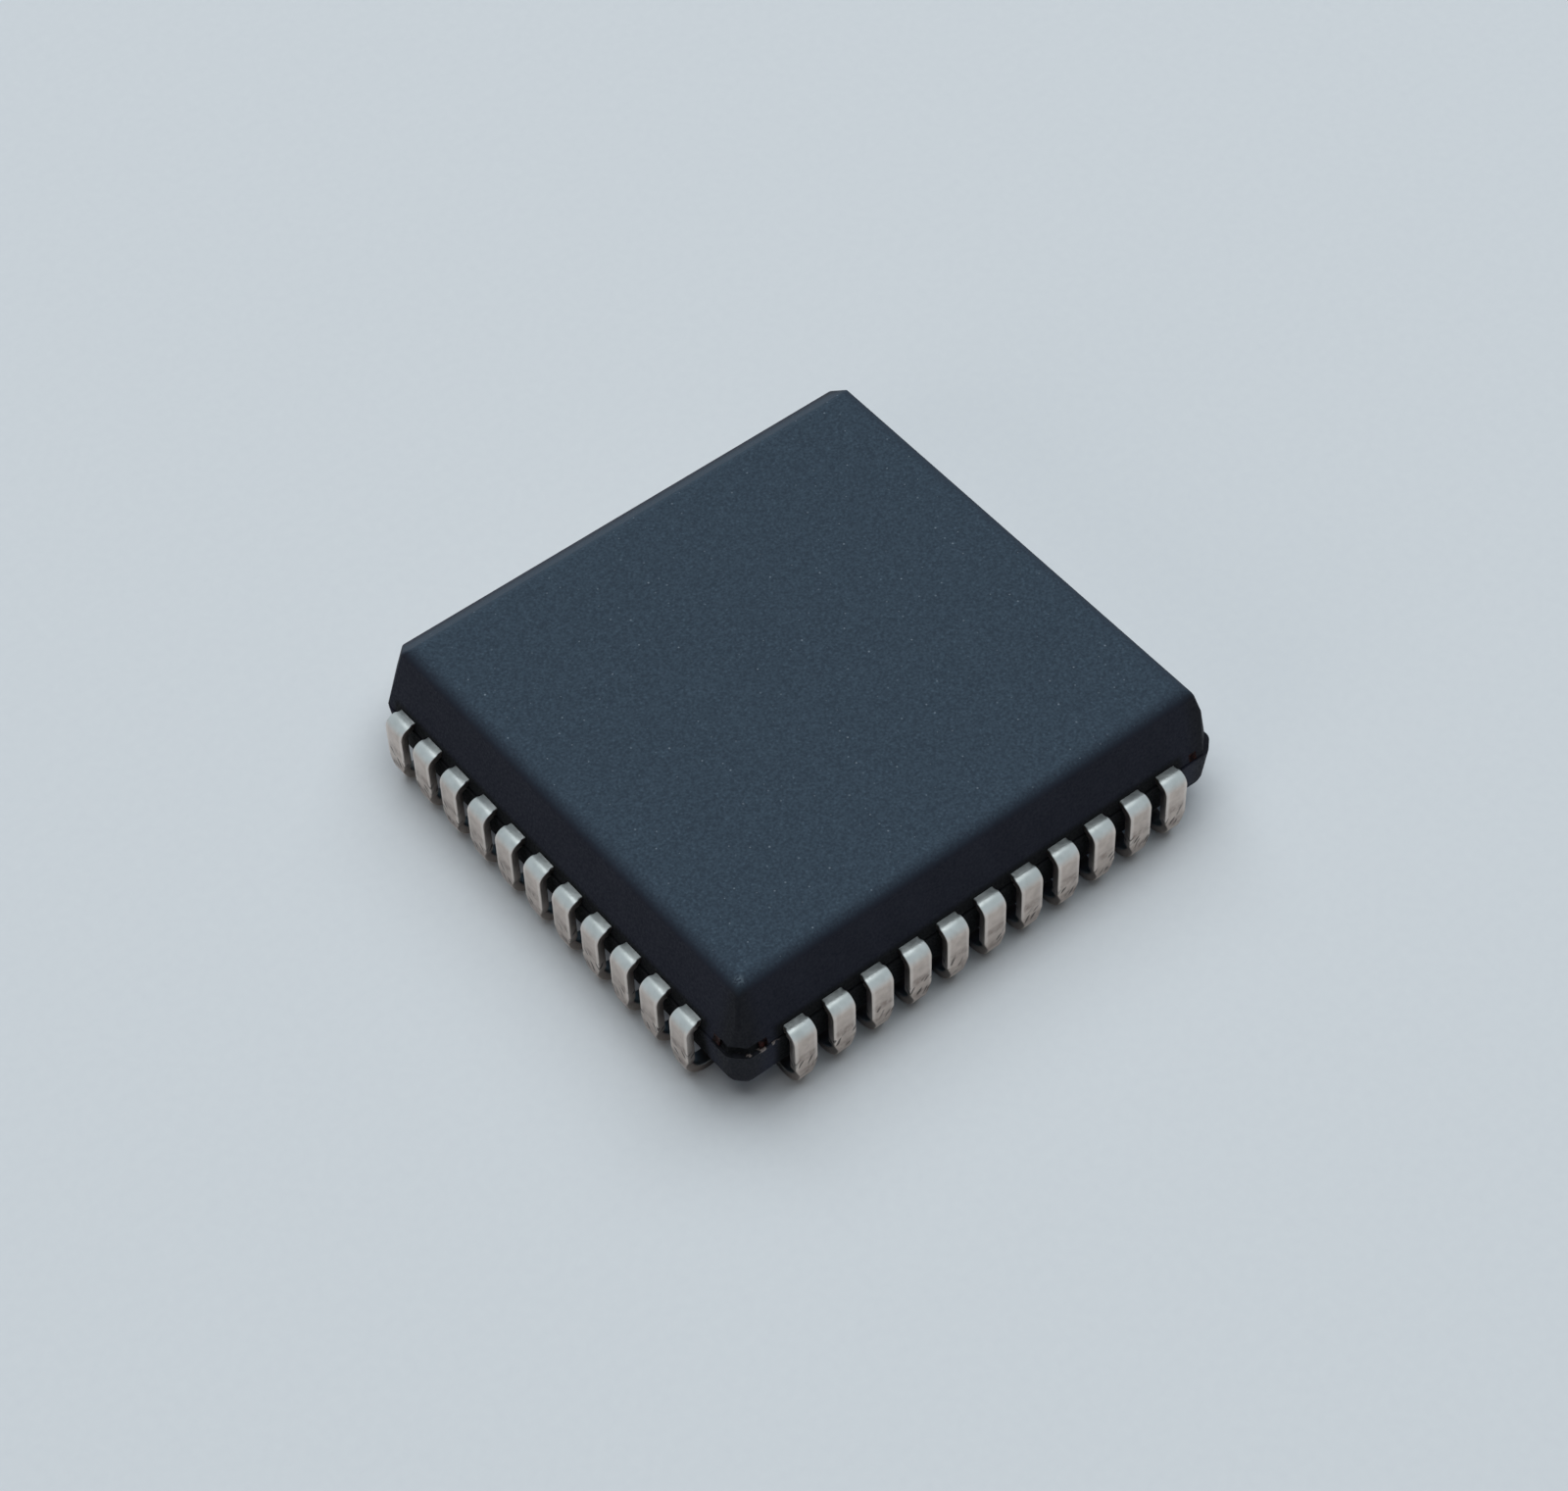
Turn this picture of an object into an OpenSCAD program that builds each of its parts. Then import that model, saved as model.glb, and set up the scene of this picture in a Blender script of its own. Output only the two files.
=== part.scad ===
// Plastic leaded chip carrier: a square moulded package with J-shaped leads on all four sides,
// holding a one-time programmable memory die on its lead frame.
// Origin: middle of the seating plane that the hooks stand on. +Z is up, and the index side faces +Y.

/* [Lead pattern] */
// Leads along each side
leads_per_side = 11; // [7:2:13]
// Distance from one lead to the next
lead_pitch = 1.27; // [1.1:0.01:1.5]
// From the middle of a row's end lead to the body's side
end_margin = 1.92; // [1.8:0.01:2.4]

/* [Lead form] */
// Thickness of the lead frame's sheet
lead_t = 0.25; // [0.19:0.01:0.3]
// Height of the leads' upper face above the seating plane
shoulder_h = 2.42; // [2.29:0.01:3.05]
// How far a lead's outer face stands out from the body's side
lead_standout = 0.43; // [0.41:0.01:0.7]
// Width of a lead where it leaves the body
exit_w = 0.66; // [0.5:0.01:0.72]
// Width of a lead below its upper bend
shoulder_w = 0.74; // [0.66:0.01:0.81]
// Width of a lead's hook
hook_w = 0.46; // [0.33:0.01:0.53]
// Inner radius of the upper bend
bend_r = 0.1; // [0.05:0.01:0.15]
// Inner radius of the hook
hook_r = 0.5; // [0.4:0.01:0.65]
// Sweep of the hook from the upright leg to the tip
hook_sweep = 165; // [140:5:175]
// Height at which a leg starts to narrow
taper_top = 1.55; // [1.3:0.05:1.9]
// Height at which a leg reaches the hook's width
taper_bottom = 0.7; // [0.4:0.05:1.1]

/* [Moulding] */
// Height of the upper half above the parting plane
upper_h = 2.2; // [1.9:0.01:2.6]
// Depth of the lower half below the parting plane
lower_h = 1.62; // [1.4:0.01:1.65]
// Draft of the upper half's sides, in degrees
upper_draft = 14; // [8:0.5:16]
// Draft of the lower half's sides, in degrees
lower_draft = 6; // [3:0.5:9]
// Draft of the other corners' cuts, in degrees
corner_draft = 6.5; // [4:0.5:9]
// How far the upper half's outline sits inside the lower half's
mould_step = 0.05; // [0.02:0.01:0.15]
// Rounding of the top edges
top_edge_r = 0.4; // [0.1:0.05:0.5]
// Rounding of the bottom edges
base_edge_r = 0.55; // [0.1:0.05:0.6]
// Bevel along the index side's top edge, measured on the top face
index_bevel = 0.9; // [0.6:0.01:1.2]
// Leg of the index corner's cut, measured on the lower half's outline
index_cut = 1.07; // [0.8:0.01:1.2]
// How many degrees more than its neighbours the index corner's cut leans
index_lean = 1; // [0.5:0.5:4]
// Leg of the other corners' cuts at the parting plane
corner_cut = 0.41; // [0.2:0.01:0.5]
// Room around a hook's tip in its notch under the body
notch_clear = 0.3; // [0.2:0.01:0.4]
// Room beside a hook in its notch
notch_side_clear = 0.18; // [0.1:0.01:0.25]
// Diameter of the ejector pin's mark under the body
ejector_d = 4; // [2:0.5:6]
// Depth of the ejector pin's mark
ejector_depth = 0.06; // [0.03:0.01:0.1]

/* [Inside] */
// Size of the die along X
die_x = 5.6; // [4:0.1:6]
// Size of the die along Y
die_y = 4.6; // [3.5:0.1:6]
// Thickness of the die
die_t = 0.4; // [0.25:0.01:0.5]
// Thickness of the adhesive under the die
attach_t = 0.03; // [0.02:0.01:0.06]
// How far the adhesive spreads past the die
attach_spread = 0.15; // [0.05:0.01:0.3]
// How far the paddle reaches past the die's longer side
paddle_margin = 0.9; // [0.5:0.05:1.1]
// Gap between the paddle and the fingers' tips
finger_gap = 0.55; // [0.3:0.05:0.7]
// Width of a finger's tip
tip_w = 0.32; // [0.2:0.01:0.36]
// From a corner of the square of finger tips to the nearest tip's middle
tip_corner_gap = 0.9; // [0.8:0.05:1.1]
// From the body's side to the knee where a finger starts to turn towards the die
knee_in = 0.9; // [0.7:0.05:1.1]
// Width of a tie bar
tie_w = 0.4; // [0.3:0.05:0.5]
// Width of a tie bar's two prongs
prong_w = 0.26; // [0.2:0.02:0.4]
// From the body's side to the middle of a tie bar's prong
prong_in = 0.93; // [0.75:0.01:1]
// Diameter of the bond wire
wire_d = 0.033; // [0.025:0.001:0.05]
// Height of a bond wire's loop over the straight line between its ends
loop_h = 0.4; // [0.25:0.05:0.6]
// Diameter of the bond at each end of a wire
bond_d = 0.1; // [0.08:0.01:0.14]
// Height of the bond at each end of a wire
bond_h = 0.05; // [0.04:0.005:0.06]
// From the die's edge to the middle of a bond pad
pad_inset = 0.15; // [0.1:0.01:0.25]
// From a finger's tip to the middle of its bond
stitch_inset = 0.25; // [0.15:0.01:0.4]

/* [Hidden] */
$fa = 4;
$fs = 0.05;
lead_total = 4 * leads_per_side;
function lead_name(n) = str("lead_", n < 10 ? "0" : "", n);

// Main levels, from the seating plane up
parting_z = shoulder_h - lead_t;
base_z = parting_z - lower_h;
attach_z = shoulder_h;
die_z = attach_z + attach_t;
die_top_z = die_z + die_t;

// Body outline
row_half = (leads_per_side - 1) / 2 * lead_pitch;
lower_half = row_half + end_margin;
upper_half = lower_half - mould_step;
lead_reach = lower_half + lead_standout;
past_body = 4 * lower_half;

// Lead section, with its outward direction first and its height second
bend_outer_r = bend_r + lead_t;
hook_outer_r = hook_r + lead_t;
bend_y = lead_reach - bend_outer_r;
bend_z = parting_z - bend_r;
hook_y = lead_reach - hook_outer_r;
hook_z = hook_outer_r;
tip_in_y = hook_y + hook_outer_r * cos(hook_sweep);
tip_top_z = hook_z - hook_r * sin(hook_sweep);

// Lead frame plan
paddle_half = max(die_x, die_y) / 2 + paddle_margin;
tip_y = paddle_half + finger_gap;
tip_row_half = tip_y - tip_corner_gap;
knee_y = lower_half - knee_in;
prong_at = lower_half - prong_in;

// Pins are numbered from the middle of the index side, counter-clockwise seen from above
function seat(n) = (n - 1 + (leads_per_side - 1) / 2) % lead_total;
function side_of(n) = floor(seat(n) / leads_per_side);
// Place along the row, from 1 at its first lead to -1 at its last
function along(n) = 1 - 2 * (seat(n) % leads_per_side) / (leads_per_side - 1);

function unit(v) = v / norm(v);
function corner_angle(a, p, b) = acos(unit(a - p) * unit(b - p));

// Convex outline whose corners are rounded by true arcs, one radius for each point
module rounded_outline(points, radii) {
    count = len(points);
    function before(i) = points[(i + count - 1) % count];
    function after(i) = points[(i + 1) % count];
    function half_angle(i) = corner_angle(before(i), points[i], after(i)) / 2;
    function tangents(i) =
        let (setback = radii[i] / tan(half_angle(i)))
        [for (side = [before(i), after(i)]) points[i] + setback * unit(side - points[i])];
    function centre(i) =
        let (inward = unit(unit(before(i) - points[i]) + unit(after(i) - points[i])))
        points[i] + inward * radii[i] / sin(half_angle(i));
    polygon([for (i = [0 : count - 1]) each radii[i] > 0 ? tangents(i) : [points[i]]]);
    for (i = [0 : count - 1])
        if (radii[i] > 0)
            translate(centre(i)) circle(r = radii[i]);
}

module ring_sector(inner_r, outer_r, from, to) {
    third = (to - from) / 3;
    past = outer_r / cos(third / 2) + inner_r;
    intersection() {
        difference() {
            circle(r = outer_r);
            circle(r = inner_r);
        }
        polygon(concat([[0, 0]], [for (k = [0 : 3]) let (at = from + k * third) past * [cos(at), sin(at)]]));
    }
}

// Section of a mould cavity with a drafted wall on each side and rounded edges at its floor
module cavity_section(right, right_draft, left, left_draft, depth, edge_r) {
    rounded_outline(
        [
            [-left, 0],
            [right, 0],
            [right - depth * tan(right_draft), depth],
            [depth * tan(left_draft) - left, depth],
        ],
        [0, 0, edge_r, edge_r]
    );
}

// The upper half's section across the index side, whose top edge is bevelled at 45 degrees
module bevelled_section() {
    floor_half = upper_half - upper_h * tan(upper_draft);
    bevel_foot = upper_h - index_bevel / (1 - tan(upper_draft));
    rounded_outline(
        [
            [-upper_half, 0],
            [upper_half, 0],
            [upper_half - bevel_foot * tan(upper_draft), bevel_foot],
            [floor_half - index_bevel, upper_h],
            [-floor_half, upper_h],
        ],
        [0, 0, 0, top_edge_r, top_edge_r]
    );
}

// Stands a section upright and runs it through the whole body, with its right side facing the angle
module run_through(angle) {
    rotate([0, 0, angle]) rotate([90, 0, 0]) linear_extrude(past_body, center = true) children();
}

// Distance from the middle to a corner's cut, along the diagonal
function cut_reach(half, cut) = (2 * half - cut) / sqrt(2);
index_reach = cut_reach(lower_half, index_cut);

module upper_moulding() {
    corner = cut_reach(upper_half, corner_cut);
    index_draft = upper_draft + index_lean;
    translate([0, 0, parting_z]) intersection() {
        run_through(0)
            cavity_section(upper_half, upper_draft, upper_half, upper_draft, upper_h, top_edge_r);
        run_through(90) bevelled_section();
        run_through(45) cavity_section(corner, corner_draft, corner, corner_draft, upper_h, top_edge_r);
        run_through(135)
            cavity_section(index_reach, index_draft, corner, corner_draft, upper_h, top_edge_r);
    }
}

module lower_moulding() {
    corner = cut_reach(lower_half, corner_cut);
    index_draft = lower_draft + index_lean;
    translate([0, 0, parting_z]) mirror([0, 0, 1]) intersection() {
        run_through(0)
            cavity_section(lower_half, lower_draft, lower_half, lower_draft, lower_h, base_edge_r);
        run_through(90)
            cavity_section(lower_half, lower_draft, lower_half, lower_draft, lower_h, base_edge_r);
        run_through(45) cavity_section(corner, corner_draft, corner, corner_draft, lower_h, base_edge_r);
        run_through(135)
            cavity_section(index_reach, index_draft, corner, corner_draft, lower_h, base_edge_r);
    }
}

// Turns a lead's own plan, with its outward direction along +Y, to its side of the body
module on_side(n) {
    rotate([0, 0, 90 * side_of(n)]) children();
}

// A lead's flat part in plan: the tip beside the paddle, the knee, the exit and the start of the bend
module finger_plan(n) {
    out_x = along(n) * row_half;
    tip_x = along(n) * tip_row_half;
    polygon([
        [tip_x - tip_w / 2, tip_y],
        [tip_x + tip_w / 2, tip_y],
        [out_x + exit_w / 2, knee_y],
        [out_x + exit_w / 2, lower_half],
        [out_x + shoulder_w / 2, bend_y],
        [out_x - shoulder_w / 2, bend_y],
        [out_x - exit_w / 2, lower_half],
        [out_x - exit_w / 2, knee_y],
    ]);
}

// The die's paddle in plan, with a tie bar to each corner that forks into two prongs
module paddle_plan() {
    square(2 * paddle_half, center = true);
    for (turn = [0 : 90 : 270]) rotate(turn) {
        rotate(45) translate([0, -tie_w / 2]) square([prong_at * sqrt(2), tie_w]);
        translate([prong_at - prong_w / 2, prong_at - prong_w / 2]) square([2 * prong_in, prong_w]);
        translate([prong_at - prong_w / 2, prong_at - prong_w / 2]) square([prong_w, 2 * prong_in]);
    }
}

module frame_sheet() {
    translate([0, 0, parting_z]) linear_extrude(lead_t) children();
}

// Upper bend, upright leg and hook, seen along the row
module hook_section() {
    translate([bend_y, bend_z]) ring_sector(bend_r, bend_outer_r, 0, 90);
    translate([lead_reach - lead_t, hook_z]) square([lead_t, bend_z - hook_z]);
    translate([hook_y, hook_z]) ring_sector(hook_r, hook_outer_r, -hook_sweep, 0);
}

// The blank's width from the shoulder down to the hook, seen from outside
module leg_front() {
    polygon([
        [-shoulder_w / 2, shoulder_h],
        [-shoulder_w / 2, taper_top],
        [-hook_w / 2, taper_bottom],
        [-hook_w / 2, 0],
        [hook_w / 2, 0],
        [hook_w / 2, taper_bottom],
        [shoulder_w / 2, taper_top],
        [shoulder_w / 2, shoulder_h],
    ]);
}

module lead(n) {
    color([0.76, 0.75, 0.71]) on_side(n) {
        frame_sheet() finger_plan(n);
        translate([along(n) * row_half, 0, 0]) intersection() {
            rotate([90, 0, 90]) linear_extrude(shoulder_w, center = true) hook_section();
            rotate([90, 0, 0]) linear_extrude(past_body, center = true) leg_front();
        }
    }
}

module die_paddle() {
    color([0.72, 0.45, 0.3]) intersection() {
        frame_sheet() paddle_plan();
        upper_moulding();
    }
}

module block(size_x, size_y, from_z, height) {
    translate([-size_x / 2, -size_y / 2, from_z]) cube([size_x, size_y, height]);
}

module die_attach() {
    color([0.8, 0.8, 0.78]) block(die_x + 2 * attach_spread, die_y + 2 * attach_spread, attach_z, attach_t);
}

module memory_die() {
    color([0.36, 0.38, 0.46]) block(die_x, die_y, die_z, die_t);
}

// One wire: an arc in the upright plane through its two bonds
module bond_wire(pad, stitch) {
    lift = [0, 0, bond_h / 2];
    chord = stitch - pad;
    span = norm(chord);
    arc_r = (span * span / 4 + loop_h * loop_h) / (2 * loop_h);
    half_sweep = asin(span / 2 / arc_r);
    heading = atan2(chord[1], chord[0]);
    slope = atan2(chord[2], norm([chord[0], chord[1]]));
    translate((pad + stitch) / 2 + lift) rotate([0, -slope, heading]) translate([0, 0, loop_h - arc_r])
        rotate([90, 0, 0]) rotate([0, 0, 90 - half_sweep]) rotate_extrude(angle = 2 * half_sweep)
            translate([arc_r, 0]) circle(d = wire_d);
    for (end = [pad, stitch])
        translate(end) cylinder(d = bond_d, h = bond_h);
}

module bond_wires() {
    color([0.85, 0.66, 0.25]) for (n = [1 : lead_total]) on_side(n) {
        facing = side_of(n) % 2 == 0 ? [die_x, die_y] / 2 : [die_y, die_x] / 2;
        pad = [along(n) * (facing[0] - 2 * pad_inset), facing[1] - pad_inset, die_top_z];
        fan = stitch_inset / (knee_y - tip_y);
        stitch_x = along(n) * (tip_row_half + fan * (row_half - tip_row_half));
        bond_wire(pad, [stitch_x, tip_y + stitch_inset, shoulder_h]);
    }
}

// Room for one hook's tip under the body
module notch(n) {
    width = hook_w + 2 * notch_side_clear;
    top = tip_top_z + notch_clear;
    on_side(n) translate([along(n) * row_half - width / 2, tip_in_y - notch_clear, 0])
        cube([width, lead_standout + end_margin, top]);
}

module moulded_body() {
    color([0.15, 0.17, 0.2]) difference() {
        union() {
            upper_moulding();
            lower_moulding();
        }
        frame_sheet() {
            paddle_plan();
            for (n = [1 : lead_total]) rotate(90 * side_of(n)) finger_plan(n);
        }
        die_attach();
        memory_die();
        bond_wires();
        for (n = [1 : lead_total]) notch(n);
        translate([0, 0, base_z]) cylinder(d = ejector_d, h = ejector_depth);
    }
}

moulded_body();
die_paddle();
die_attach();
memory_die();
bond_wires();
for (n = [1 : lead_total]) lead(n);
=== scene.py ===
# A one-time programmable memory chip in a square plastic carrier with J-shaped leads, on a pale table.
import math

import bmesh
import bpy
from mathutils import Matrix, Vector


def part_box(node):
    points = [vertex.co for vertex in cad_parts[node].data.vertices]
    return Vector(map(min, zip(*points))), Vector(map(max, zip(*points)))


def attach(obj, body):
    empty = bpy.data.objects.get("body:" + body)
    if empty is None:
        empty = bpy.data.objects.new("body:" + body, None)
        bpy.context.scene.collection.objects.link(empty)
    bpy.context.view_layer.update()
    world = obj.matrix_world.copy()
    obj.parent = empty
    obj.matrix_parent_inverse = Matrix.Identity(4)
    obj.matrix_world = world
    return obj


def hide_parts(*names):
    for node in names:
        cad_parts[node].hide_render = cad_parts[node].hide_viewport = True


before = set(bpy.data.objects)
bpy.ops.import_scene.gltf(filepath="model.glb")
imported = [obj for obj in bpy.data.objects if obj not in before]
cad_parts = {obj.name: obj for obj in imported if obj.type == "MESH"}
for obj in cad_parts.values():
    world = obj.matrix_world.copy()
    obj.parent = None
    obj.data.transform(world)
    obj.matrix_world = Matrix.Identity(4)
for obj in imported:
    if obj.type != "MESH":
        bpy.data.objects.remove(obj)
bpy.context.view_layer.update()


# Die paddle: the middle of the lead frame, stamped from rolled copper alloy with a forked tie bar to each
# corner. It is moulded in, so only the sheared ends of its prongs show beside the body's corners, where
# they are coloured dark brown to near black.
def put(tree, kind, inputs, **settings):
    """Adds a shader node: its settings first, then each input as a plain value or a link from a socket."""
    made = tree.nodes.new("ShaderNode" + kind)
    for name, value in settings.items():
        setattr(made, name, value)
    for socket, value in inputs.items():
        if isinstance(value, bpy.types.NodeSocket):
            tree.links.new(value, made.inputs[socket])
        else:
            made.inputs[socket].default_value = value
    return made


def reckon(tree, operation, *values):
    """One sum on numbers that change over the surface."""
    return put(tree, "Math", dict(enumerate(values)), operation=operation).outputs[0]


def rise(tree, value, start, end):
    """0 up to the start and 1 past the end, which may lie below the start, with a soft step between."""
    step = {"Value": value, "From Min": start, "From Max": end}
    return put(tree, "MapRange", step, interpolation_type="SMOOTHSTEP").outputs[0]


def blend(tree, share, plain, other):
    """The plain colour where the share is 0, and the other where it is 1."""
    return put(tree, "Mix", {0: share, 6: plain, 7: other}, data_type="RGBA").outputs[2]


def paint(red, green, blue):
    """A colour read in steps from 0 to 255, as the linear values that a shader takes."""
    shares = [step / 255 for step in (red, green, blue)]
    return [s / 12.92 if s <= 0.04045 else ((s + 0.055) / 1.055) ** 2.4 for s in shares] + [1.0]


def begin_finish(name, plain):
    """A new material: itself, its node tree, its shader with plain values set, and the spot in mm."""
    finish = bpy.data.materials.new(name)
    finish.use_nodes = True
    tree = finish.node_tree
    shader = tree.nodes["Principled BSDF"]
    for socket, value in plain.items():
        shader.inputs[socket].default_value = value
    metres = put(tree, "TexCoord", {}).outputs["Object"]
    spot = put(tree, "VectorMath", {0: metres, "Scale": 1000}, operation="SCALE").outputs[0]
    return finish, tree, shader, spot


def from_planes(tree, axes, operation):
    """The larger or the smaller of a spot's distances from the chip's two upright middle planes."""
    return reckon(tree, operation, *(reckon(tree, "ABSOLUTE", axes[way]) for way in (0, 1)))


def roughen(tree, shader, height, depth):
    """Raises the surface by a height from 0 to 1 times the depth in mm."""
    bump = put(tree, "Bump", {"Height": height, "Strength": 1.0, "Distance": depth / 1000})
    tree.links.new(bump.outputs[0], shader.inputs["Normal"])


def cover(piece, finish):
    """Gives the whole piece one finish."""
    piece.data.materials.clear()
    piece.data.materials.append(finish)


def begin_effect(name, inputs, outputs):
    """A shader node group with named inputs and outputs: its tree, its input node and its output node."""
    effect = bpy.data.node_groups.new(name, "ShaderNodeTree")
    for socket, kind in inputs.items():
        effect.interface.new_socket(socket, in_out="INPUT", socket_type="NodeSocket" + kind)
    for socket, kind in outputs.items():
        effect.interface.new_socket(socket, in_out="OUTPUT", socket_type="NodeSocket" + kind)
    return effect, effect.nodes.new("NodeGroupInput").outputs, effect.nodes.new("NodeGroupOutput").inputs


# Mottle: soft blotches of one grain size in mm, as in stained metal, filled plastic and cast grain
mottle, given, wanted = begin_effect(
    "mottle", {"Spot": "Vector", "Grain": "Float", "Contrast": "Float"}, {"Mask": "Float"}
)
blotch_scale = reckon(mottle, "DIVIDE", 1.0, given["Grain"])
blotches = put(mottle, "TexNoise", {"Vector": given["Spot"], "Scale": blotch_scale, "Detail": 3.0})
offset = reckon(mottle, "SUBTRACT", blotches.outputs["Fac"], 0.5)
spread = {0: offset, 1: given["Contrast"], 2: 0.5}
mask = put(mottle, "Math", spread, operation="MULTIPLY_ADD", use_clamp=True)
mottle.links.new(mask.outputs[0], wanted["Mask"])


def mottled(tree, spot, grain, contrast):
    """The mottle's mask from 0 to 1 on one material."""
    inputs = {"Spot": spot, "Grain": grain, "Contrast": contrast}
    return put(tree, "Group", inputs, node_tree=mottle).outputs["Mask"]


browned_copper, tree, shader, spot = begin_finish("browned copper", {"Metallic": 1.0})
axes = put(tree, "SeparateXYZ", {0: spot}).outputs
# The sheared prong ends beside the corners are coloured dark brown to near black
prong_end_reach = 7.4, 7.9
dark_prong_ends = rise(tree, from_planes(tree, axes, "MAXIMUM"), *prong_end_reach)
copper_cloud = mottled(tree, spot, grain=0.6, contrast=2.0)
copper_colour = blend(tree, copper_cloud, paint(186, 118, 78), paint(160, 96, 62))
prong_end_cloud = mottled(tree, spot, grain=0.12, contrast=3.0)
prong_end_colour = blend(tree, prong_end_cloud, paint(10, 6, 6), paint(52, 22, 18))
tree.links.new(blend(tree, dark_prong_ends, copper_colour, prong_end_colour), shader.inputs["Base Color"])
# A step much wider than the mask's range keeps the roughness near its middle, here and in later finishes
dullness = rise(tree, mottled(tree, spot, grain=0.2, contrast=3.0), -0.8, 2.2)
tree.links.new(dullness, shader.inputs["Roughness"])
roughen(tree, shader, mottled(tree, spot, grain=0.05, contrast=3.0), depth=0.004)
cover(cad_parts["die_paddle"], browned_copper)


# Die attach: a thin layer of silver-filled epoxy between the die and the paddle. It is pressed out
# a little round the die when that is set down, and cured.
silver_epoxy, tree, shader, spot = begin_finish("silver epoxy", {"Metallic": 0.6})
flakes = mottled(tree, spot, grain=0.03, contrast=4.0)
flake_colour = blend(tree, flakes, paint(150, 150, 146), paint(206, 206, 200))
tree.links.new(flake_colour, shader.inputs["Base Color"])
tree.links.new(rise(tree, flakes, 1.6, -0.6), shader.inputs["Roughness"])
roughen(tree, shader, flakes, depth=0.005)
cover(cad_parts["die_attach"], silver_epoxy)


# Memory die: a sawn piece of silicon wafer, polished below its film of glass, with the memory array in
# blocks on its upper face and lighter lines between them.
patterned_silicon, tree, shader, spot = begin_finish("patterned silicon", {"IOR": 1.9, "Coat Weight": 0.4})
blocks = put(
    tree,
    "TexBrick",
    {
        "Vector": spot,
        "Color1": paint(74, 78, 104),
        "Color2": paint(88, 82, 112),
        "Mortar": paint(150, 146, 132),
        "Scale": 1.0,
        "Mortar Size": 0.03,
        "Brick Width": 1.3,
        "Row Height": 1.05,
    },
    offset=0.0,
)
word_lines = put(tree, "TexWave", {"Vector": spot, "Scale": 6.0}, bands_direction="X").outputs["Fac"]
line_share = reckon(tree, "MULTIPLY", word_lines, 0.35)
lined_colour = blend(tree, line_share, blocks.outputs["Color"], paint(46, 66, 96))
tree.links.new(lined_colour, shader.inputs["Base Color"])
dullness = rise(tree, mottled(tree, spot, grain=0.4, contrast=2.0), -1.0, 4.0)
tree.links.new(dullness, shader.inputs["Roughness"])
roughen(tree, shader, word_lines, depth=0.001)
cover(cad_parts["memory_die"], patterned_silicon)


# Bond wires: forty-four lengths of drawn gold wire, each bonded to a pad of the die at one end and to
# a finger of the lead frame at the other.
drawn_gold, tree, shader, spot = begin_finish("drawn gold", {"Metallic": 1.0})
drawing = mottled(tree, spot, grain=0.04, contrast=3.0)
gold_colour = blend(tree, drawing, paint(240, 190, 96), paint(214, 160, 74))
tree.links.new(gold_colour, shader.inputs["Base Color"])
tree.links.new(rise(tree, drawing, -1.0, 3.0), shader.inputs["Roughness"])
roughen(tree, shader, drawing, depth=0.001)
cover(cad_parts["bond_wires"], drawn_gold)


# Leads: forty-four fingers of the lead frame, sheared free, tin plated and formed into a J, with the hook
# tucked under the body. Each runs from its stitch beside the paddle out through the moulding's side, turns
# down at the shoulder, narrows low down and curls in under the body.
def metres_to_mm(corners):
    """A box's two corners in mm."""
    return [corner * 1000 for corner in corners]


def start_edit(piece, kind):
    """Opens the piece's mesh with nothing selected, ready to pick vertices, edges or faces."""
    bpy.context.view_layer.objects.active = piece
    bpy.ops.object.mode_set(mode="EDIT")
    bpy.ops.mesh.select_mode(type=kind)
    bpy.ops.mesh.select_all(action="DESELECT")


def pick(piece, kind, wanted):
    """Selects just the vertices, edges or faces whose points all pass the test."""
    bpy.ops.mesh.select_all(action="DESELECT")
    mesh = bmesh.from_edit_mesh(piece.data)
    for part in {"VERT": mesh.verts, "EDGE": mesh.edges, "FACE": mesh.faces}[kind]:
        points = [part.co] if kind == "VERT" else [vertex.co for vertex in part.verts]
        part.select_set(all(wanted(point) for point in points))
    bmesh.update_edit_mesh(piece.data)


def take(*pieces):
    """Selects just these pieces and makes the first one active."""
    bpy.ops.object.select_all(action="DESELECT")
    for piece in pieces:
        piece.select_set(True)
    bpy.context.view_layer.objects.active = pieces[0]


def finish_with(piece, kind, **settings):
    """Adds a modifier, sets it and applies it."""
    modifier = piece.modifiers.new(kind.title(), kind)
    for name, value in settings.items():
        setattr(modifier, name, value)
    bpy.context.view_layer.objects.active = piece
    bpy.ops.object.modifier_apply(modifier=modifier.name)


lead_low, lead_high = metres_to_mm(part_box("lead_01"))
body_low, body_high = metres_to_mm(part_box("moulded_body"))
leads_per_side, lead_pitch = 11, 1.27
sheet = 0.25
tip_w, exit_w, hook_w = 0.32, 0.66, 0.46
shoulder_w = lead_high.x - lead_low.x
bend_r, hook_r = 0.35, 0.75
hook_sweep = math.radians(165)
taper_top, taper_bottom = 0.98, 0.6
knee_in, tip_corner_gap = 0.9, 0.9
bend_steps, hook_steps = 8, 16
shoulder_z, lead_reach, tip_y = lead_high.z, lead_high.y, lead_low.y
side_y = body_high.y
row_half = (leads_per_side - 1) / 2 * lead_pitch
tip_row_half = tip_y - tip_corner_gap
rolled_edge, edge_steps, sharp_edge = 0.035, 3, 0.9
lead_smoothing = math.radians(40)


def leg_width(height):
    """The leg's width, which narrows from the shoulder's to the hook's."""
    share = min(max((height - taper_bottom) / (taper_top - taper_bottom), 0.0), 1.0)
    return hook_w + share * (shoulder_w - hook_w)


def draw_out(step, wider=1.0):
    """Extrudes the lead's free end by a step and makes it wider or narrower."""
    bpy.ops.mesh.extrude_edges_move(TRANSFORM_OT_translate={"value": step})
    bpy.ops.transform.resize(value=(wider, 1, 1), center_override=(0, 0, 0))


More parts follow.
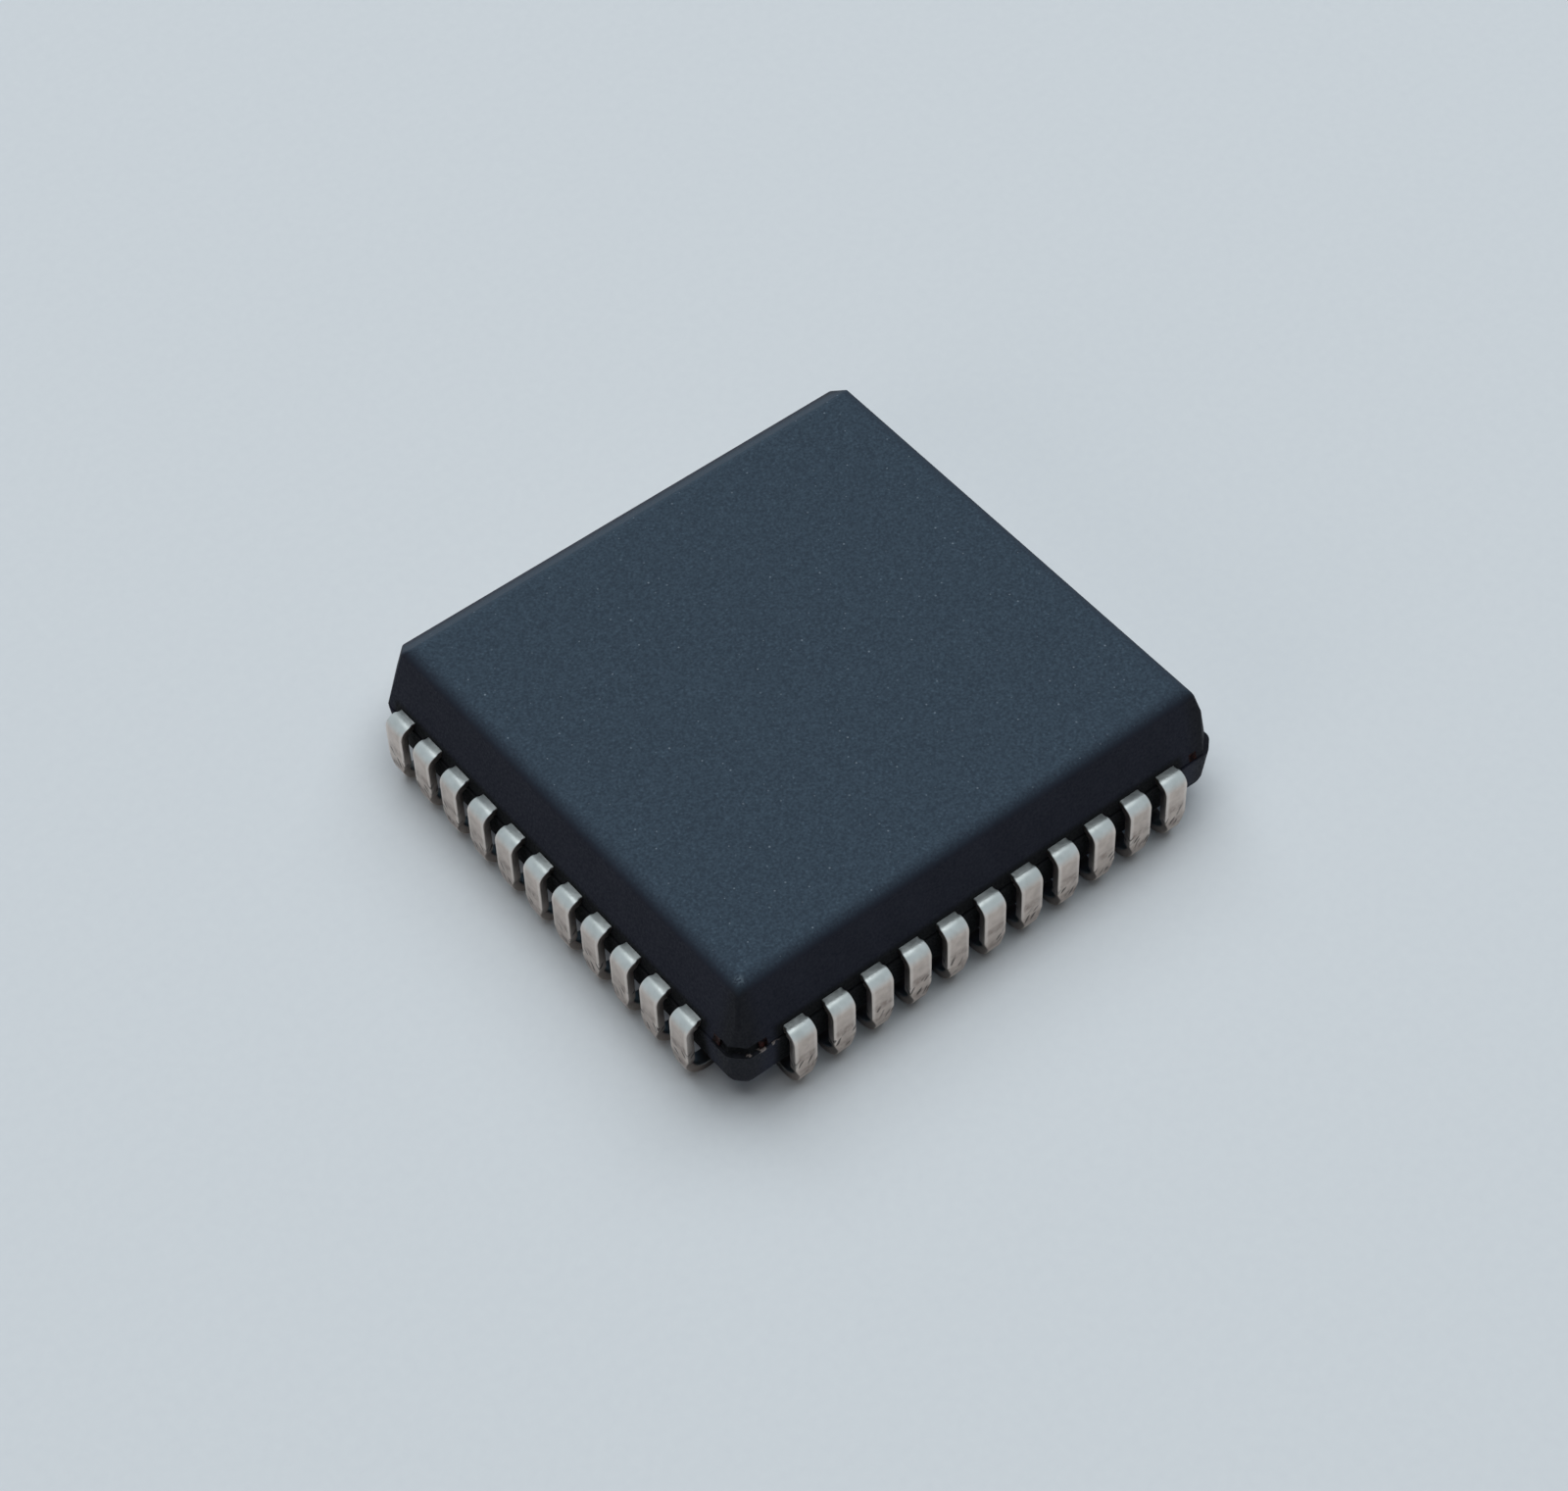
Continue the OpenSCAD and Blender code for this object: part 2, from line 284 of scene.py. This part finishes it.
bpy.ops.object.select_all(action="DESELECT")
bpy.ops.mesh.primitive_plane_add(size=tip_w, location=(0, tip_y + tip_w / 2, shoulder_z))
blank = bpy.context.object
bpy.ops.object.transform_apply()
start_edit(blank, "EDGE")
pick(blank, "EDGE", lambda point: point.y > tip_y + tip_w / 2)
bpy.ops.transform.translate(value=(0, side_y - knee_in - tip_y - tip_w, 0))
bpy.ops.transform.resize(value=(exit_w / tip_w, 1, 1), center_override=(0, 0, 0))
draw_out((0, knee_in, 0))
draw_out((0, lead_reach - bend_r - side_y, 0), shoulder_w / exit_w)
bpy.ops.mesh.spin(
    steps=bend_steps,
    angle=math.pi / 2,
    center=(0, lead_reach - bend_r, shoulder_z - bend_r),
    axis=(1, 0, 0),
)
draw_out((0, 0, taper_top - shoulder_z + bend_r))
draw_out((0, 0, hook_r - taper_top), leg_width(hook_r) / leg_width(taper_top))
for step in range(hook_steps):
    swept = [min(hook_sweep * turn / hook_steps, math.pi / 2) for turn in (step, step + 1)]
    width_before, width_after = [leg_width(hook_r - hook_r * math.sin(turn)) for turn in swept]
    bpy.ops.mesh.spin(
        steps=1, angle=hook_sweep / hook_steps, center=(0, lead_reach - hook_r, hook_r), axis=(1, 0, 0)
    )
    bpy.ops.transform.resize(value=(width_after / width_before, 1, 1), center_override=(0, 0, 0))
bpy.ops.object.mode_set(mode="OBJECT")
finish_with(blank, "SOLIDIFY", thickness=sheet, offset=-1, use_even_offset=True)
rolled = {"width": rolled_edge, "segments": edge_steps, "limit_method": "ANGLE", "angle_limit": sharp_edge}
finish_with(blank, "BEVEL", **rolled)
bpy.ops.object.shade_smooth_by_angle(angle=lead_smoothing)


def facing_ways(tree):
    """The three parts of the direction that the surface faces."""
    return put(tree, "SeparateXYZ", {0: put(tree, "NewGeometry", {}).outputs["Normal"]}).outputs


def overlap(tree, *masks):
    """The product of some masks, which is 1 just where all of them are."""
    product = masks[0]
    for other in masks[1:]:
        product = reckon(tree, "MULTIPLY", product, other)
    return product


satin_tin, tree, shader, spot = begin_finish("satin tin", {"Metallic": 1.0})
axes = put(tree, "SeparateXYZ", {0: spot}).outputs
height = axes[2]
facing = facing_ways(tree)
face_lean = 0.85, 0.1
turned_down = rise(tree, facing[2], *face_lean)
cloud = mottled(tree, spot, grain=0.25, contrast=2.5)
top_colour = blend(tree, cloud, paint(208, 214, 212), paint(195, 201, 198))
# The faces that turn down are painted warmer than the tops: a painted reflection of warm surroundings
warm_reflection_face_colour = blend(tree, cloud, paint(208, 194, 184), paint(190, 176, 166))
tin_colour = blend(tree, turned_down, top_colour, warm_reflection_face_colour)

# The hooks are darkened where they tuck under the body, as they look in the photograph's deep shadow
tucked_reach, tucked_z = (8.4, 7.8), (1.7, 1.3)
reach = from_planes(tree, axes, "MAXIMUM")
tucked = overlap(tree, rise(tree, reach, *tucked_reach), rise(tree, height, *tucked_z))
tin_colour = blend(tree, tucked, tin_colour, paint(84, 80, 77))

# The sheared sides of the legs, which face along the row, are painted darker as shade, and the rolled
# edges between are painted paler as a highlight
rim_off_middle, rim_z, rim_share = (0.23, 0.3), (0.95, 1.05), 0.45
sheared_turn, sheared_share = (0.5, 0.95), 0.4
off_middle = reckon(tree, "PINGPONG", from_planes(tree, axes, "MINIMUM"), lead_pitch / 2)
above_taper = rise(tree, height, *rim_z)
rim_highlight = overlap(tree, rise(tree, off_middle, *rim_off_middle), above_taper, turned_down, rim_share)
tin_colour = blend(tree, rim_highlight, tin_colour, paint(234, 224, 216))
from_x, from_y = [reckon(tree, "ABSOLUTE", axes[way]) for way in (0, 1)]
turned_x, turned_y = [reckon(tree, "ABSOLUTE", facing[way]) for way in (0, 1)]
on_y_row = reckon(tree, "GREATER_THAN", from_y, from_x)
sideways = put(tree, "Mix", {0: on_y_row, 2: turned_y, 3: turned_x}).outputs[0]
sheared_side_shade = overlap(tree, rise(tree, sideways, *sheared_turn), sheared_share)
tin_colour = blend(tree, sheared_side_shade, tin_colour, paint(92, 88, 86))

# Two darker, patchy bands cross the lower half of the faces
band_levels = ((1.6, 1.45), (1.18, 1.33)), ((1.02, 0.86), (0.55, 0.7))
band_off_middle = 0.34, 0.22
bands = [overlap(tree, *(rise(tree, height, *edge) for edge in band)) for band in band_levels]
patchy = rise(tree, mottled(tree, spot, grain=0.2, contrast=3.0), -0.4, 1.4)
off_rim = rise(tree, off_middle, *band_off_middle)
dark_bands = overlap(tree, reckon(tree, "ADD", *bands), turned_down, patchy, off_rim)
banded_colour = blend(tree, dark_bands, tin_colour, paint(158, 141, 132))

# Short dark scratches lean across the same part
scratched_top, scratched_foot, scratch_share = (1.5, 1.2), (0.6, 0.8), 0.85
stroke_turn, stroke_cell = math.radians(55), (0.5, 0.13, 1.0)
stroke_edge, stroke_choice, stroke_sway = (0.4, 0.2), (0.35, 0.8), 0.3
face_way = reckon(tree, "ADD", axes[0], axes[1])
sway = reckon(tree, "MULTIPLY", mottled(tree, spot, grain=0.7, contrast=2.0), stroke_sway)
face_spot = put(tree, "CombineXYZ", {0: face_way, 1: reckon(tree, "ADD", height, sway)}).outputs[0]
stroke_spot = put(
    tree,
    "Mapping",
    {"Vector": face_spot, "Rotation": (0, 0, stroke_turn), "Scale": stroke_cell},
    vector_type="TEXTURE",
).outputs[0]
strokes = put(tree, "TexVoronoi", {"Vector": stroke_spot, "Scale": 1.0}, voronoi_dimensions="2D").outputs
stroke_pick = put(tree, "SeparateColor", {0: strokes["Color"]}).outputs
stroke_shape = rise(tree, strokes["Distance"], *stroke_edge)
marks = overlap(tree, stroke_shape, rise(tree, stroke_pick[0], *stroke_choice))
low_down = overlap(tree, rise(tree, height, *scratched_top), rise(tree, height, *scratched_foot))
scratches = overlap(tree, marks, low_down, turned_down)
scratched = overlap(tree, scratches, scratch_share)
tree.links.new(blend(tree, scratched, banded_colour, paint(70, 62, 58)), shader.inputs["Base Color"])
dullness = rise(tree, mottled(tree, spot, grain=0.1, contrast=2.5), -4.0, 7.0)
tree.links.new(dullness, shader.inputs["Roughness"])
relief = reckon(tree, "SUBTRACT", mottled(tree, spot, grain=0.06, contrast=2.5), scratches)
roughen(tree, shader, relief, depth=0.001)

lead_total = 4 * leads_per_side
leads = []
for number in range(1, lead_total + 1):
    side, row = divmod((number - 1 + leads_per_side // 2) % lead_total, leads_per_side)
    along = 1 - 2 * row / (leads_per_side - 1)
    turn = side * math.pi / 2
    take(blank)
    bpy.ops.object.duplicate()
    lead = bpy.context.object
    lead.name = f"formed_lead_{number:02d}"
    start_edit(lead, "VERT")
    pick(lead, "VERT", lambda point: point.y < tip_y + tip_w / 2)
    bpy.ops.transform.translate(value=(along * (tip_row_half - row_half), 0, 0))
    bpy.ops.object.mode_set(mode="OBJECT")
    lead.location = (along * row_half * math.cos(turn), along * row_half * math.sin(turn), 0)
    lead.rotation_euler.z = turn
    bpy.ops.object.transform_apply()
    cover(lead, satin_tin)
    leads.append(lead)
bpy.data.objects.remove(blank)

# A joined copy, still in mm, to make the leads' room in the moulding
take(*leads)
bpy.ops.object.duplicate()
bpy.ops.object.join()
lead_tool = bpy.context.object
lead_tool.name = "lead_tool"


def into_metres(piece):
    """Brings a finished piece from mm to the frame's metres."""
    take(piece)
    piece.scale = (0.001, 0.001, 0.001)
    bpy.ops.object.transform_apply()


for number, lead in enumerate(leads, 1):
    into_metres(lead)
    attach(lead, "root")
    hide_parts(f"lead_{number:02d}")


# Moulded body: black epoxy filled with silica, pressed in one shot round the lead frame in a two-part
# mould, with sides that draft away from the parting line. One top edge has a wide bevel and the corner
# beside it a deeper cut, to mark where the counting of leads starts.
def trim(point, outward):
    """Cuts the block in hand along a plane and drops what lies outside it."""
    bpy.ops.mesh.select_all(action="SELECT")
    bpy.ops.mesh.bisect(plane_co=point, plane_no=outward, use_fill=True, clear_outer=True, threshold=1e-5)


def cast_half(name, seam_z, floor_z, walls):
    """One half of the moulding: a block trimmed by walls, each with its heading, reach and draft."""
    up = math.copysign(1, floor_z - seam_z)
    bpy.ops.object.select_all(action="DESELECT")
    bpy.ops.mesh.primitive_cube_add(size=4 * side_y)
    half = bpy.context.object
    half.name = name
    bpy.ops.object.mode_set(mode="EDIT")
    trim((0, 0, seam_z), (0, 0, -up))
    trim((0, 0, floor_z), (0, 0, up))
    for heading, reach, draft in walls:
        out = Vector((math.cos(math.radians(heading)), math.sin(math.radians(heading)), 0))
        lean = math.radians(draft)
        outward = out * math.cos(lean) + Vector((0, 0, up * math.sin(lean)))
        trim(out * reach + Vector((0, 0, parting_z)), outward)
    return half


def round_edges(half, radius, wanted):
    """Marks the edges that pass the test for rounding, each with the setback its angle needs."""
    bpy.ops.mesh.select_mode(type="EDGE")
    mesh = bmesh.from_edit_mesh(half.data)
    setbacks = {}
    for edge in mesh.edges:
        if wanted(*(vertex.co for vertex in edge.verts)):
            setback = round(radius * math.tan(edge.calc_face_angle() / 2), 4)
            setbacks.setdefault(setback, []).append(edge.index)
    for setback, marked in setbacks.items():
        bpy.ops.mesh.select_all(action="DESELECT")
        mesh = bmesh.from_edit_mesh(half.data)
        mesh.edges.ensure_lookup_table()
        for index in marked:
            mesh.edges[index].select_set(True)
        bmesh.update_edit_mesh(half.data)
        bpy.ops.transform.edge_bevelweight(value=setback)


def corner_reach(half_width, cut):
    """From the middle to a corner's cut along the diagonal."""
    return (2 * half_width - cut) / math.sqrt(2)


base_z, top_z = body_low.z, body_high.z
parting_z = shoulder_z - sheet
seam, seam_depth = 0.04, 0.1
mould_step = 0.05
lower_half, upper_half = side_y, side_y - mould_step
upper_draft, lower_draft, corner_draft, index_lean = 14, 6, 6.5, 1
corner_cut, index_cut, lip_cut = 0.41, 1.07, 0.1
index_reach = corner_reach(lower_half, index_cut)
index_bevel = 0.9
top_edge_r, base_edge_r = 0.4, 0.55
upper_corner_r, lower_corner_r = 0.12, 0.3
edge_segments = 6
body_smoothing = math.radians(32)
level_slack, face_slack = 0.01, 0.001

sides, corners = (0, 90, 180, 270), (45, 225, 315)
upper_cuts = {45: corner_cut, 225: corner_cut, 315: corner_cut + lip_cut}
upper_walls = [(heading, upper_half, upper_draft) for heading in sides]
for heading, cut in upper_cuts.items():
    upper_walls.append((heading, corner_reach(upper_half, cut), corner_draft))
upper_walls.append((135, index_reach, upper_draft + index_lean))
lower_walls = [(heading, lower_half, lower_draft) for heading in sides]
lower_walls += [(heading, corner_reach(lower_half, corner_cut), corner_draft) for heading in corners]
lower_walls.append((135, index_reach, lower_draft + index_lean))

upper = cast_half("moulding", parting_z, top_z, upper_walls)
bevel_y = upper_half - (top_z - parting_z) * math.tan(math.radians(upper_draft)) - index_bevel
trim((0, bevel_y, top_z), (0, 1, 1))


def on_level(level):
    """A test that picks an edge lying on one level."""
    return lambda start, end: max(abs(start.z - level), abs(end.z - level)) < level_slack


def off_levels(*levels):
    """A test that picks an edge with no more than one end on any of the levels."""
    return lambda start, end: not any(on_level(level)(start, end) for level in levels)


round_edges(upper, top_edge_r, on_level(top_z))
round_edges(upper, upper_corner_r, off_levels(top_z, parting_z))
bpy.ops.object.mode_set(mode="OBJECT")
bevel = {"width": 1.0, "segments": edge_segments, "limit_method": "WEIGHT", "use_clamp_overlap": False}
finish_with(upper, "BEVEL", **bevel)

lower = cast_half("lower_moulding", parting_z - seam, base_z, lower_walls)
round_edges(lower, base_edge_r, on_level(base_z))
round_edges(lower, lower_corner_r, off_levels(base_z, parting_z - seam))
bpy.ops.object.mode_set(mode="OBJECT")
finish_with(lower, "BEVEL", **bevel)

# The halves meet in a fine groove at the parting line
for half, level in ((upper, parting_z), (lower, parting_z - seam)):
    start_edit(half, "FACE")
    pick(half, "FACE", lambda point: abs(point.z - level) < face_slack)
    bpy.ops.mesh.inset(thickness=seam_depth, use_even_offset=True)
    bpy.ops.mesh.delete(type="ONLY_FACE")
    bpy.ops.object.mode_set(mode="OBJECT")
take(upper, lower)
bpy.ops.object.join()
moulding = bpy.context.object
start_edit(moulding, "EDGE")
bpy.ops.mesh.select_non_manifold()
bpy.ops.mesh.bridge_edge_loops()
bpy.ops.object.mode_set(mode="OBJECT")


def carve(piece, tool):
    """Takes the tool's shape out of the piece and throws the tool away."""
    finish_with(piece, "BOOLEAN", operation="DIFFERENCE", object=tool, solver="EXACT")
    bpy.data.objects.remove(tool)


# Each hook curls into a notch under the body
notch_side_clear, notch_clear = 0.18, 0.3
notch_w = hook_w + 2 * notch_side_clear
notch_in = lead_reach - hook_r + hook_r * math.cos(hook_sweep) - notch_clear
notch_top = hook_r - (hook_r - sheet) * math.sin(hook_sweep) + notch_clear
bpy.ops.object.select_all(action="DESELECT")
bpy.ops.mesh.primitive_cube_add(size=1)
row_tool = bpy.context.object
row_tool.scale = (notch_w, lead_reach - notch_in, notch_top)
row_tool.location = (-row_half, (lead_reach + notch_in) / 2, notch_top / 2)
bpy.ops.object.transform_apply()
finish_with(
    row_tool,
    "ARRAY",
    count=leads_per_side,
    use_relative_offset=False,
    use_constant_offset=True,
    constant_offset_displace=(lead_pitch, 0, 0),
)
for side in range(4):
    take(row_tool)
    bpy.ops.object.duplicate()
    side_tool = bpy.context.object
    side_tool.rotation_euler.z = side * math.pi / 2
    bpy.ops.object.transform_apply()
    carve(moulding, side_tool)
bpy.data.objects.remove(row_tool)

# The ejector pin's mark under the middle of the body
ejector_d, ejector_depth, ejector_sides = 4.0, 0.06, 64
bpy.ops.object.select_all(action="DESELECT")
bpy.ops.mesh.primitive_cylinder_add(
    vertices=ejector_sides, radius=ejector_d / 2, depth=2 * ejector_depth, location=(0, 0, base_z)
)
bpy.ops.object.transform_apply()
carve(moulding, bpy.context.object)

# The nearest corner has a rough hollow just above its parting line, likely where the runner was broken
# off, and a smaller one in the side on each hand, as far as the prongs. Each is given by its heading,
# reach, place along the side, width and depth
gate_h, gate_lift, gate_grit, gate_from_corner = 0.36, 0.35, 0.02, 0.62
gate_bites = (
    (225, corner_reach(upper_half, corner_cut), 0.0, 0.9, 0.24),
    (180, upper_half, upper_half - gate_from_corner, 0.6, 0.13),
    (270, upper_half, gate_from_corner - upper_half, 0.6, 0.13),
)
for seed, (heading, reach, along, width, depth) in enumerate(gate_bites):
    turn = math.radians(heading)
    bpy.ops.object.select_all(action="DESELECT")
    bpy.ops.mesh.primitive_ico_sphere_add(subdivisions=3, radius=1.0)
    bite = bpy.context.object
    bite.scale = (depth, width / 2, gate_h / 2)
    bite.rotation_euler.z = turn
    bite.location = (
        reach * math.cos(turn) - along * math.sin(turn),
        reach * math.sin(turn) + along * math.cos(turn),
        parting_z + gate_lift * gate_h,
    )
    bpy.ops.object.transform_apply()
    start_edit(bite, "VERT")
    bpy.ops.mesh.select_all(action="SELECT")
    bpy.ops.transform.vertex_random(offset=gate_grit, seed=seed)
    bpy.ops.object.mode_set(mode="OBJECT")
    carve(moulding, bite)

carve(moulding, lead_tool)
take(moulding)
bpy.ops.object.shade_smooth_by_angle(angle=body_smoothing)
finish_with(moulding, "WEIGHTED_NORMAL", keep_sharp=True)

moulded_plain = {"Specular IOR Level": 0.15, "Metallic": 0.0}
moulded_epoxy, tree, shader, spot = begin_finish("moulded epoxy", moulded_plain)
axes = put(tree, "SeparateXYZ", {0: spot}).outputs
height = axes[2]
reach = from_planes(tree, axes, "MAXIMUM")
along_side = from_planes(tree, axes, "MINIMUM")

# The top and the base have a grain and are painted paler than the walls: partly for that grain, partly as
# painted light on the faces that lie flat
frost_reach, frost_lean = (8.0, 7.2), (0.25, 0.87)
top_frost_z, base_frost_z = (3.0, 3.4), (base_z + 0.2, base_z)
flatness = reckon(tree, "ABSOLUTE", facing_ways(tree)[2])
both_faces = reckon(tree, "MAXIMUM", rise(tree, height, *top_frost_z), rise(tree, height, *base_frost_z))
frost_and_flat_light = overlap(tree, rise(tree, reach, *frost_reach), rise(tree, flatness, *frost_lean), both_faces)
dots_per_mm, dot_edge, dot_share, grain_share = 9.0, (0.55, 0.1), 0.5, 0.6
grit = put(tree, "TexVoronoi", {"Vector": spot, "Scale": dots_per_mm}).outputs
grit_pick = put(tree, "SeparateColor", {0: grit["Color"]}).outputs
dots = overlap(tree, rise(tree, grit["Distance"], *dot_edge), grit_pick[0], dot_share)
fine_grain = overlap(tree, mottled(tree, spot, grain=0.07, contrast=3.5), grain_share)
grain = reckon(tree, "ADD", fine_grain, dots)
frost_and_light_colour = blend(tree, grain, paint(40, 51, 62), paint(65, 80, 93))

# The walls are painted darker towards the corners, as shade
corner_shade_reach = 7.1, 7.7
wall_cloud = mottled(tree, spot, grain=1.2, contrast=2.0)
wall_colour = blend(tree, wall_cloud, paint(31, 33, 43), paint(26, 28, 38))
side_colour = blend(tree, rise(tree, along_side, *corner_shade_reach), wall_colour, paint(23, 24, 29))

# Between the leads the walls are near black, as they look in the photograph's deep shadow
slot_reach, slot_top_z, slot_foot_z = (7.7, 7.9), (2.7, 2.45), (0.6, 0.9)
row_end, row_fade = row_half + shoulder_w, 0.3
in_row = rise(tree, along_side, row_end, row_end - row_fade)
slot_rows = overlap(tree, in_row, rise(tree, reach, *slot_reach))
slot_levels = overlap(tree, rise(tree, height, *slot_top_z), rise(tree, height, *slot_foot_z))
slots = overlap(tree, slot_rows, slot_levels)

# The hollow at the nearest corner is painted near black too, as shade, in a ragged crescent on the
# parting line
crescent_h, crescent_half, ragged_h = 0.3, 0.75, 0.15
crescent_edge, seam_edge, near_corner_sum = (-0.03, 0.05), (-0.02, 0.01), (-13.0, -14.0)
across_corner = reckon(tree, "SUBTRACT", axes[0], axes[1])
bow = reckon(tree, "POWER", reckon(tree, "DIVIDE", across_corner, crescent_half * math.sqrt(2)), 2.0)
crescent_top = reckon(tree, "MULTIPLY", reckon(tree, "SUBTRACT", 1.0, bow), crescent_h)
above_seam = reckon(tree, "SUBTRACT", height, parting_z - seam)
edge_cloud = mottled(tree, spot, grain=0.2, contrast=3.0)
ragged = reckon(tree, "MULTIPLY", reckon(tree, "SUBTRACT", edge_cloud, 0.5), ragged_h)
under_crescent = reckon(tree, "ADD", reckon(tree, "SUBTRACT", crescent_top, above_seam), ragged)
near_corner = rise(tree, reckon(tree, "ADD", axes[0], axes[1]), *near_corner_sum)
in_crescent = rise(tree, under_crescent, *crescent_edge)
hollow_shade = overlap(tree, in_crescent, rise(tree, above_seam, *seam_edge), near_corner)
dark_walls = blend(tree, reckon(tree, "MAXIMUM", slots, hollow_shade), side_colour, paint(7, 8, 10))
body_colour = blend(tree, frost_and_flat_light, dark_walls, frost_and_light_colour)

# Pale specks of many sizes, taken to be grains of filler, dot the frosted faces
fillers_per_mm, least_filler = 2.6, 0.2
filler_edge, filler_choice = (0.09, 0.03), (0.55, 1.4)
filler_cells = {"Vector": spot, "Scale": fillers_per_mm}
fillers = put(tree, "TexVoronoi", filler_cells, voronoi_dimensions="2D").outputs
filler_pick = put(tree, "SeparateColor", {0: fillers["Color"]}).outputs
filler_size = reckon(tree, "ADD", filler_pick[1], least_filler)
from_filler = reckon(tree, "DIVIDE", fillers["Distance"], filler_size)
few_fillers = rise(tree, filler_pick[0], *filler_choice)
specks = overlap(tree, rise(tree, from_filler, *filler_edge), few_fillers, frost_and_flat_light)
body_colour = blend(tree, specks, body_colour, paint(140, 154, 166))

# The tip of the top face is worn pale at the nearest corner
tip_in, tip_below, tip_fade, tip_grain = 0.85, 0.17, (0.22, 0.06), (0.1, 0.4)
worn_tip = (tip_in - side_y, tip_in - side_y, top_z - tip_below)
from_tip = put(tree, "VectorMath", {0: spot, 1: worn_tip}, operation="DISTANCE").outputs["Value"]
tip_wear = overlap(tree, rise(tree, from_tip, *tip_fade), rise(tree, fine_grain, *tip_grain))
body_colour = blend(tree, tip_wear, body_colour, paint(104, 118, 128))

# Pale crumbs cling to the parting line beside the hollow
crumbs_in, crumbs_z = 0.8, parting_z - 2 * seam
crumbs_fade, crumbs_h, crumb_edge = (0.65, 0.4), (0.07, 0.03), (0.65, 0.85)
crumb_spot = (crumbs_in - side_y, -side_y, crumbs_z)
from_crumbs = put(tree, "VectorMath", {0: spot, 1: crumb_spot}, operation="DISTANCE").outputs["Value"]
off_seam = reckon(tree, "ABSOLUTE", reckon(tree, "SUBTRACT", height, crumbs_z))
crumb_place = overlap(tree, rise(tree, off_seam, *crumbs_h), rise(tree, from_crumbs, *crumbs_fade))
crumb_cloud = mottled(tree, spot, grain=0.16, contrast=3.0)
crumbs = overlap(tree, crumb_place, rise(tree, crumb_cloud, *crumb_edge))
tree.links.new(blend(tree, crumbs, body_colour, paint(112, 106, 104)), shader.inputs["Base Color"])
tree.links.new(rise(tree, grain, -2.2, 1.6), shader.inputs["Roughness"])
roughen(tree, shader, overlap(tree, grain, frost_and_flat_light), depth=0.005)
cover(moulding, moulded_epoxy)
into_metres(moulding)
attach(moulding, "root")
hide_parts("moulded_body")


# Table: a plain pale sheet of paper, which isn't part of the chip. It fades out into the pale backdrop far
# from the chip, can't be seen from below and lets the light from below through.
table_size, table_fade = 2.0, (500, 120)
bpy.ops.object.select_all(action="DESELECT")
bpy.ops.mesh.primitive_plane_add(size=table_size)
table = bpy.context.object
table.name = "table"
pale_sheet, tree, shader, spot = begin_finish("pale sheet", {"Roughness": 0.9, "Specular IOR Level": 0.1})
fibres = mottled(tree, spot, grain=0.3, contrast=1.0)
sheet_colour = blend(tree, fibres, paint(199, 206, 212), paint(204, 211, 216))
tree.links.new(sheet_colour, shader.inputs["Base Color"])
from_chip = put(tree, "VectorMath", {0: spot}, operation="LENGTH").outputs["Value"]
from_below = put(tree, "NewGeometry", {}).outputs["Backfacing"]
shading = put(tree, "LightPath", {}).outputs["Is Shadow Ray"]
seen_from_above = reckon(tree, "SUBTRACT", 1.0, reckon(tree, "MAXIMUM", from_below, shading))
tree.links.new(overlap(tree, rise(tree, from_chip, *table_fade), seen_from_above), shader.inputs["Alpha"])
cover(table, pale_sheet)


# Studio: an even pale backdrop that the metal mirrors, one wide soft light overhead, a little to the
# back, a second one there that only mirrors show, a weak warm one from the left, and one from below for
# the underside.
backdrop_colour, backdrop_glow, backdrop_seen = paint(199, 206, 212), 0.1, 1.0
world = bpy.data.worlds.new("studio")
bpy.context.scene.world = world
world.use_nodes = True
tree = world.node_tree
rays = put(tree, "LightPath", {}).outputs
mirrored = reckon(tree, "MAXIMUM", rays["Is Glossy Ray"], rays["Is Transmission Ray"])
seen = reckon(tree, "MAXIMUM", rays["Is Camera Ray"], mirrored)
glow = put(tree, "Mix", {0: seen, 2: backdrop_glow, 3: backdrop_seen}).outputs[0]
backdrop = tree.nodes["Background"]
backdrop.inputs["Color"].default_value = backdrop_colour
tree.links.new(glow, backdrop.inputs["Strength"])


def hang_light(name, place, width, power, colour, mirrored):
    """A square soft light at a place in metres, turned to the chip, for mirrors only or all but them."""
    lamp = bpy.data.lights.new(name, "AREA")
    lamp.size = width
    lamp.energy = power
    lamp.color = colour
    light = bpy.data.objects.new(name, lamp)
    bpy.context.scene.collection.objects.link(light)
    light.visible_camera = False
    light.visible_glossy = mirrored
    light.visible_diffuse = not mirrored
    light.location = place
    light.rotation_euler = Vector(place).to_track_quat("Z", "Y").to_euler()


cool_white, warm_white = (0.97, 0.99, 1.0), (1.0, 0.86, 0.76)
hang_light("overhead", (0.2, 0.23, 1.0), width=1.4, power=16.2, colour=cool_white, mirrored=False)
hang_light("overhead_middle", (0.08, 0.15, 1.0), width=0.7, power=1.3, colour=cool_white, mirrored=True)
hang_light("left_fill", (-0.8, -0.1, 0.35), width=0.5, power=0.84, colour=warm_white, mirrored=False)
hang_light("under_fill", (0.2, -0.15, -1.0), width=0.8, power=16.0, colour=cool_white, mirrored=False)


# Camera: looks down on the chip's nearest corner from where the photograph was taken, with the place,
# the turn and the lens solved from that photograph.
camera = bpy.data.objects.new("camera", bpy.data.cameras.new("camera"))
bpy.context.scene.collection.objects.link(camera)
camera.location = (-0.041654, -0.055519, 0.086124)
camera.rotation_euler = [math.radians(turn) for turn in (39.099, 1.419, -38.495)]
camera.data.sensor_width = 36
camera.data.lens = 91.966
camera.data.clip_start = 0.001
bpy.context.scene.camera = camera
bpy.context.scene.view_settings.view_transform = "Standard"
